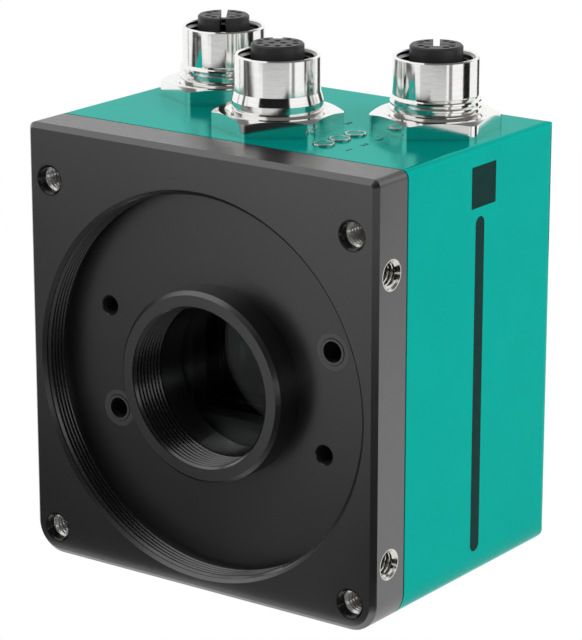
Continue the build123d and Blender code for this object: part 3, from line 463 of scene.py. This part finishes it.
# Small threads of the plate, their places given from the lens axis, in mm
FRONT_INSERT_OFFSET = 28.17
SIDE_INSERT_OFFSET = 22.17
SIDE_INSERT_DEPTH = 3.9
RECESS_FLOOR = 5.4
INSERT_THREAD = (1.66, 1.98, 0.26, 6.0, 0.7)
DEEP_INSERT_THREAD = (1.62, 1.98, DARK_MOUTH, 6.0, 0.7)
BUSH_THREAD = (1.66, 1.98, 0.16, 5.0, 0.7)
TAP_THREAD = (1.26, 1.48, 0.16, 5.0, 0.5)
BUSH_PLACES = ((21.1, 8.25), (-19.6, -8.1))
TAP_PLACES = ((-21.1, 8.25), (19.6, -8.1))
BUSH_RIM = [(2.04, 0.02), (1.64, 0.02), (1.64, 0.14), (2.04, 0.14)]
BUSH_RIM_DEPTH = 5.3
SMALL_THREAD_SEGMENTS = 48
RING_SEGMENTS = 64


def small_thread(thread, place, along):
    """Thread of an insert, bush or tapped hole; its mouth opens to the root."""
    return placed(inner_thread(thread, SMALL_THREAD_SEGMENTS, thread[1]), place, along)


def plate_place(place, depth):
    """Place in metres from (across, up) off the lens axis and a depth behind the front face, in mm."""
    x, z = place
    return x * MM, FRONT + depth * MM, LENS_Z + z * MM


def bush_rim(place):
    ring = turned_mesh("rim", lambda turn: BUSH_RIM, RING_SEGMENTS)
    return placed(ring, plate_place(place, BUSH_RIM_DEPTH), INTO_FRONT)


def add_small_threads():
    corners = [(side, end) for side in (-1, 1) for end in (-1, 1)]
    fronts, sides = [], []
    for side, end in corners:
        place = plate_place((side * FRONT_INSERT_OFFSET, end * FRONT_INSERT_OFFSET), 0)
        fronts.append(small_thread(DEEP_INSERT_THREAD, place, INTO_FRONT))
        place = (side * SIDE, FRONT + SIDE_INSERT_DEPTH * MM, LENS_Z + end * SIDE_INSERT_OFFSET * MM)
        sides.append(small_thread(INSERT_THREAD, place, (-side, 0, 0)))
    bushes = [small_thread(BUSH_THREAD, plate_place(p, RECESS_FLOOR), INTO_FRONT) for p in BUSH_PLACES]
    taps = [small_thread(TAP_THREAD, plate_place(p, RECESS_FLOOR), INTO_FRONT) for p in TAP_PLACES]
    groups = (
        ("front_insert_threads", fronts, "stainless", "front_insert_steel"),
        ("side_insert_threads", sides, "stainless", "stainless"),
        # bush and tap threads take a near-black as painted shade inside their holes
        ("bush_threads", bushes, "black_steel", "painted_shade_black"),
        ("bush_rims", [bush_rim(place) for place in BUSH_PLACES], "black_steel", "black_steel"),
        ("tap_threads", taps, "black_anodised", "painted_shade_black"),
    )
    for name, meshes, slot, look in groups:
        mesh = joined(name, meshes)
        finish_mesh(mesh)
        add_piece(name, mesh, slot, MATERIALS[look])


# Sockets
RIM_HEIGHT = 11.1
SLEEVE = 6.6
SLEEVE_BORE = 6.0
NECK = 7.0
SHOULDER = 5.5
FLAT_DISTANCE = 6.15
FLAT_TURNS = {"left": -41.0, "right": -28.0}
FLAT_BOTTOM = 2.3
FLAT_TOP = 5.2
NECK_THREAD = (6.98, 6.42, 0.2, 5.3, 1.0)
SOCKET_THREAD = (5.5, 5.98, 0.15, 8.4, 1.0)
NECK_THREAD_LEAD = 0.4
SHELL_SEGMENTS = 216
SLEEVE_THREAD_SEGMENTS = 96
RIM_INNER_CHAMFER = 0.15
RIM_OUTER_CHAMFER = 0.2
STEM_BORE = 4.23
BORE_FLOOR = 1.5
TAIL = 4.9
FLANGE = 7.8
FLANGE_LIFT = 5.6
FLANGE_THICKNESS = 1.4


def socket_axis(name):
    low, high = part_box(name + "_socket_nut")
    return (low.x + high.x) / 2, (low.y + high.y) / 2


def socket_loop(box):
    """Loop of a threaded socket body as (radius, height above the top face), without its neck thread."""
    tail_bottom = (box[0].z - TOP) / MM
    flange_bottom = tail_bottom + FLANGE_LIFT
    flange_top = flange_bottom + FLANGE_THICKNESS
    inside = [
        (STEM_BORE, tail_bottom), (STEM_BORE, BORE_FLOOR), (SLEEVE_BORE, BORE_FLOOR),
        (SLEEVE_BORE, RIM_HEIGHT - RIM_INNER_CHAMFER), (SLEEVE_BORE + RIM_INNER_CHAMFER, RIM_HEIGHT),
        (SLEEVE - RIM_OUTER_CHAMFER, RIM_HEIGHT), (SLEEVE, RIM_HEIGHT - RIM_OUTER_CHAMFER),
        (SLEEVE, SHOULDER),
    ]
    below = [
        (NECK, flange_top), (FLANGE, flange_top), (FLANGE, flange_bottom), (TAIL, flange_bottom),
        (TAIL, tail_bottom),
    ]
    return inside, below


def add_threaded_socket(name):
    """Socket body with a thread and a milled flat on its neck, in place of the plain solid."""
    node_name = name + "_socket_body"
    inside, below = socket_loop(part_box(node_name))
    x, y = socket_axis(name)

    def column(turn):
        rows = thread_rows(NECK_THREAD, turn, NECK - NECK_THREAD_LEAD)
        return [*inside, *((radius, SHOULDER - along) for radius, along in rows), *below]

    mesh = turned_mesh(node_name, column, SHELL_SEGMENTS)
    turn = math.radians(FLAT_TURNS[name])
    across = Vector((math.cos(turn), math.sin(turn), 0))
    for vertex in mesh.vertices:
        proud = vertex.co.dot(across) - FLAT_DISTANCE
        if proud > 0 and FLAT_BOTTOM < vertex.co.z < FLAT_TOP:
            vertex.co -= across * proud
    mesh = placed(mesh, (x, y, TOP), (0, 0, 1))
    finish_mesh(mesh)
    piece = add_piece(name + "_socket_shell", mesh, "nickel")
    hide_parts(node_name)


def add_socket_threads():
    for name in ("left", "middle", "right"):
        x, y = socket_axis(name)
        mesh = inner_thread(SOCKET_THREAD, SLEEVE_THREAD_SEGMENTS, SLEEVE_BORE - ROOT_SINK)
        mesh = placed(mesh, (x, y, TOP + RIM_HEIGHT * MM), (0, 0, -1))
        finish_mesh(mesh)
        # nickel darkened as painted shade for the thread deep inside the sleeve
        add_piece(name + "_socket_thread", mesh, "nickel", MATERIALS["painted_shade_nickel"])


# Printing and light rings, in mm; depths are from the front face
INK_HEIGHT = 0.02
INK_SUNK = 0.6
CORNER_STEPS = 6
SIDE_BARS = ((24.8, 31.4, 60.0, 66.4, 0.15), (26.0, 28.4, 5.4, 58.6, 1.2))
LIGHT_NUMBER_X = 17.6
LIGHT_NUMBER_DEPTHS = (12.85, 16.95, 20.95)
LIGHT_NUMBER_HEIGHT = 1.5
SOCKET_NUMBER_PLACES = ((-6.0, 33.0), (7.4, 27.2), (7.4, 38.2))
SOCKET_NUMBER_HEIGHT = 1.6
DIGIT_SHARE = 0.7
LIGHT_X = 13.2
LIGHT_DEPTHS = (14.1, 18.2, 22.3)
LIGHT_RING = [(1.66, 0.0), (1.66, 0.16), (1.58, 0.3), (1.42, 0.3), (1.34, 0.2), (1.34, 0.0)]


def flat_prism(outline, thickness):
    """Thin prism in mm over an outline in its own plane."""
    form = bmesh.new()
    low = [form.verts.new((a, b, 0)) for a, b in outline]
    high = [form.verts.new((a, b, thickness)) for a, b in outline]
    form.faces.new(low[::-1])
    form.faces.new(high)
    for i in range(len(outline)):
        j = (i + 1) % len(outline)
        form.faces.new((low[i], low[j], high[j], high[i]))
    bmesh.ops.recalc_face_normals(form, faces=form.faces)
    mesh = bpy.data.meshes.new("print")
    form.to_mesh(mesh)
    form.free()
    return mesh


def rounded_box(left, right, low, high, radius):
    """Outline of a rectangle with rounded corners, each in CORNER_STEPS steps."""
    points = []
    corners = ((right - radius, high - radius, 0), (left + radius, high - radius, 90),
               (left + radius, low + radius, 180), (right - radius, low + radius, 270))
    for a, b, start in corners:
        for step in range(CORNER_STEPS + 1):
            angle = math.radians(start + 90 / CORNER_STEPS * step)
            points.append((a + radius * math.cos(angle), b + radius * math.sin(angle)))
    return points


def add_side_print():
    """Plain dark block with a stripe under it, sunk by a share of its thickness."""
    turn = Matrix(((0, 0, 1), (1, 0, 0), (0, 1, 0))).to_4x4()
    mesh = joined("side_print", [flat_prism(rounded_box(*bar), INK_HEIGHT) for bar in SIDE_BARS])
    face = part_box("housing")[1].x - INK_SUNK * INK_HEIGHT * MM
    mesh.transform(Matrix.Translation((face, FRONT, 0)) @ turn @ Matrix.Scale(MM, 4))
    add_piece("side_print", mesh, "seal_rubber", MATERIALS["ink"])


def add_number(name, text, x, depth, height):
    curve = bpy.data.curves.new(name, "FONT")
    curve.body = text
    curve.size = height * MM / DIGIT_SHARE
    curve.extrude = INK_HEIGHT / 2 * MM
    source = bpy.data.objects.new(name, curve)
    bpy.context.scene.collection.objects.link(source)
    bpy.context.view_layer.update()
    mesh = bpy.data.meshes.new_from_object(source)
    bpy.data.objects.remove(source)
    mesh.transform(Matrix.Translation((x * MM, FRONT + depth * MM, TOP + INK_HEIGHT / 2 * MM)))
    mesh.materials.clear()
    add_piece(name, mesh, "seal_rubber", MATERIALS["ink"])


def add_numbers():
    for number, depth in enumerate(LIGHT_NUMBER_DEPTHS, 1):
        add_number(f"light_number_{number}", str(number), LIGHT_NUMBER_X, depth, LIGHT_NUMBER_HEIGHT)
    for number, (x, depth) in enumerate(SOCKET_NUMBER_PLACES, 1):
        add_number(f"socket_number_{number}", str(number), x, depth, SOCKET_NUMBER_HEIGHT)


def add_light_rings():
    """Narrow bright bezel round each status light."""
    rings = []
    for depth in LIGHT_DEPTHS:
        ring = turned_mesh("ring", lambda turn: LIGHT_RING, RING_SEGMENTS)
        rings.append(placed(ring, (LIGHT_X * MM, FRONT + depth * MM, TOP), (0, 0, 1)))
    mesh = joined("light_rings", rings)
    finish_mesh(mesh)
    add_piece("light_rings", mesh, "light_pipe", MATERIALS["bezel"])


# Surroundings
FLOOR_SIZE = 6.0


def add_floor():
    mesh = bpy.data.meshes.new("floor")
    half = FLOOR_SIZE / 2
    corners = [(-half, -half, 0), (half, -half, 0), (half, half, 0), (-half, half, 0)]
    mesh.from_pydata(corners, [], [(0, 1, 2, 3)])
    floor = bpy.data.objects.new("floor", mesh)
    bpy.context.scene.collection.objects.link(floor)
    mesh.materials.append(backdrop_material())


def add_area_light(name, place, aim, size, power):
    data = bpy.data.lights.new(name, "AREA")
    data.shape = "RECTANGLE"
    data.size, data.size_y = size
    data.energy = power
    light = bpy.data.objects.new(name, data)
    light.visible_glossy = False
    bpy.context.scene.collection.objects.link(light)
    direction = Vector(aim) - Vector(place)
    light.matrix_world = Matrix.Translation(place) @ direction.to_track_quat("-Z", "Y").to_matrix().to_4x4()


# Studio flags and fills that only reflections see:
# (first azimuth, last azimuth in degrees, lowest, highest point in mm, grey)
CARD_DISTANCE = 200 * MM
CARD_STEP = 4
CARDS = (
    (-3, 66, 0.2, 14, 0.02),
    (-3, 66, 14, 44, 0.68),
    (-20, -12, 60, 104, 0.01),
    (-12, 66, 44, 200, 0.01),
    (72, 80, 0.2, 90, 0.25),
    (109, 131, 0.2, 110, 0.01),
    (165, 186, 0.2, 110, 0.06),
    (-62, -55, 0.2, 110, 0.03),
    (-48, -44, 0.2, 110, 0.05),
    (-82, -79, 0.2, 110, 0.3),
)
# Boards and table beside them, in mm; ramps are (share along, grey) stops
BOARD = ((-420, -330, 260), (-420, 60, 260), (-60, 60, 470), (-60, -330, 470))
TABLE_CARD = ((-320, -225), (220, -27))
TABLE_HEIGHT = 0.1
TABLE_SLANT = 0.62
TABLE_ACROSS = (-50, 80)
TABLE_AWAY = 150
LOW_BOARD = ((-330, -40), -228, (0.2, 22))
LOW_BOARD_FADE = (-180, -100)
LOW_BOARD_GREYS = ((0.0, 0.03), (0.35, 0.08), (1.0, 0.8))
TABLE_GREYS = ((0.04, 0.25), (0.19, 0.3), (0.34, 0.38), (0.42, 0.6), (0.54, 0.66), (0.8, 0.03))
TABLE_LEVELS = ((0.07, 0.24), (0.23, 0.26), (0.53, 0.6), (0.75, 0.9), (1.0, 0.7))


def hide_from_all_but_gloss(card):
    card.visible_camera = False
    card.visible_diffuse = False
    card.visible_shadow = False


def card_material(name, grey):
    material, tree, shader = new_material(name)
    shader.inputs["Base Color"].default_value = (0, 0, 0, 1)
    shader.inputs["Specular IOR Level"].default_value = 0.0
    shader.inputs["Emission Color"].default_value = (grey, grey, grey, 1)
    shader.inputs["Emission Strength"].default_value = 1.0
    return material


def add_card(name, corners, material):
    """Strip of a card from rows of (near, far) points in metres."""
    form = bmesh.new()
    rows = [[form.verts.new(point) for point in pair] for pair in corners]
    for left, right in zip(rows, rows[1:]):
        form.faces.new((left[0], right[0], right[1], left[1]))
    mesh = bpy.data.meshes.new(name)
    form.to_mesh(mesh)
    form.free()
    mesh.materials.append(material)
    card = bpy.data.objects.new(name, mesh)
    bpy.context.scene.collection.objects.link(card)
    hide_from_all_but_gloss(card)


def add_cards():
    for index, (first, last, low, high, grey) in enumerate(CARDS):
        corners = []
        steps = max(2, round((last - first) / CARD_STEP))
        for step in range(steps + 1):
            angle = math.radians(first + (last - first) * step / steps)
            x, y = CARD_DISTANCE * math.sin(angle), -CARD_DISTANCE * math.cos(angle)
            corners.append(((x, y, low * MM), (x, y, high * MM)))
        add_card(f"card_{index}", corners, card_material(f"card_{index}", grey))


def add_board():
    """White board high on the left: the light on the edges that look up to the front."""
    x = [tuple(value * MM for value in corner) for corner in BOARD]
    add_card("board", ((x[0], x[3]), (x[1], x[2])), card_material("board", 1.0))


def add_low_board():
    """Low board beyond the table: it shades the top left of the front face."""
    (left, right), y, (low, high) = LOW_BOARD
    material = card_material("low_board", 0.0)
    tree = material.node_tree
    first, last = LOW_BOARD_FADE
    across = map_range(tree, object_part(tree, "X"), first * MM, last * MM)
    grey = grey_ramp(tree, across, LOW_BOARD_GREYS)
    tree.links.new(grey, tree.nodes["Principled BSDF"].inputs["Emission Color"])
    rows = [((x * MM, y * MM, low * MM), (x * MM, y * MM, high * MM)) for x in (left, right)]
    add_card("low_board", rows, material)


def add_table_card():
    """Dark table before the front: it shades the front face from left to right and towards its foot."""
    material = card_material("table_card", 0.0)
    tree = material.node_tree
    shader = tree.nodes["Principled BSDF"]
    away = calculate(tree, "SUBTRACT", FRONT, object_part(tree, "Y"))
    slanted = calculate(tree, "MULTIPLY_ADD", away, TABLE_SLANT, object_part(tree, "X"))
    across = map_range(tree, slanted, TABLE_ACROSS[0] * MM, TABLE_ACROSS[1] * MM)
    colour = grey_ramp(tree, across, TABLE_GREYS)
    level = grey_ramp(tree, map_range(tree, away, 0.0, TABLE_AWAY * MM), TABLE_LEVELS)
    tree.links.new(colour, shader.inputs["Emission Color"])
    tree.links.new(level, shader.inputs["Emission Strength"])
    (left, front), (right, back) = TABLE_CARD
    height = TABLE_HEIGHT * MM
    rows = [((x * MM, front * MM, height), (x * MM, back * MM, height)) for x in (left, right)]
    add_card("table_card", rows, material)


# Height of a direction's tip at which the studio turns from white wall to dark ceiling
WALL_TOP = 0.5
CEILING_START = 0.68
CEILING_GREY = 0.16
AMBIENT_STRENGTH = 0.5


def add_world():
    """White for the camera and for reflections, a plain half level as light."""
    world = bpy.data.worlds.new("studio")
    bpy.context.scene.world = world
    world.use_nodes = True
    tree = world.node_tree
    background = tree.nodes["Background"]
    background.inputs["Color"].default_value = (1, 1, 1, 1)
    background.inputs["Strength"].default_value = AMBIENT_STRENGTH
    white = tree.nodes.new("ShaderNodeBackground")
    direction = tree.nodes.new("ShaderNodeTexCoord")
    parts = tree.nodes.new("ShaderNodeSeparateXYZ")
    tree.links.new(direction.outputs["Generated"], parts.inputs["Vector"])
    ceiling = (CEILING_GREY, CEILING_GREY, CEILING_GREY)
    studio = ramp(tree, parts.outputs["Z"], WALL_TOP, CEILING_START, (1, 1, 1), ceiling)
    tree.links.new(studio, white.inputs["Color"])
    mix = tree.nodes.new("ShaderNodeMixShader")
    tree.links.new(seen_directly(tree), mix.inputs["Fac"])
    tree.links.new(background.outputs["Background"], mix.inputs[1])
    tree.links.new(white.outputs["Background"], mix.inputs[2])
    tree.links.new(mix.outputs["Shader"], tree.nodes["World Output"].inputs["Surface"])


# Lamps as (name, place in metres, size, power), all aimed at the middle of the object
LAMP_AIM = (0, 0, 40 * MM)
LAMPS = (
    ("key", (-0.35, -0.75, 0.55), (0.5, 0.5), 3.0),
    ("side", (0.75, -0.1, 0.45), (0.5, 0.6), 3.6),
    ("top", (0.0, 0.3, 0.9), (0.7, 0.7), 3.0),
)


def add_lights():
    for name, place, size, power in LAMPS:
        add_area_light(name, place, LAMP_AIM, size, power)


dress_nodes()
add_plate_threads()
add_small_threads()
for socket in FLAT_TURNS:
    add_threaded_socket(socket)
add_socket_threads()
add_side_print()
add_numbers()
add_light_rings()
add_floor()
add_cards()
add_board()
add_low_board()
add_table_card()
add_world()
add_lights()
add_camera()
bpy.context.scene.view_settings.view_transform = "Standard"
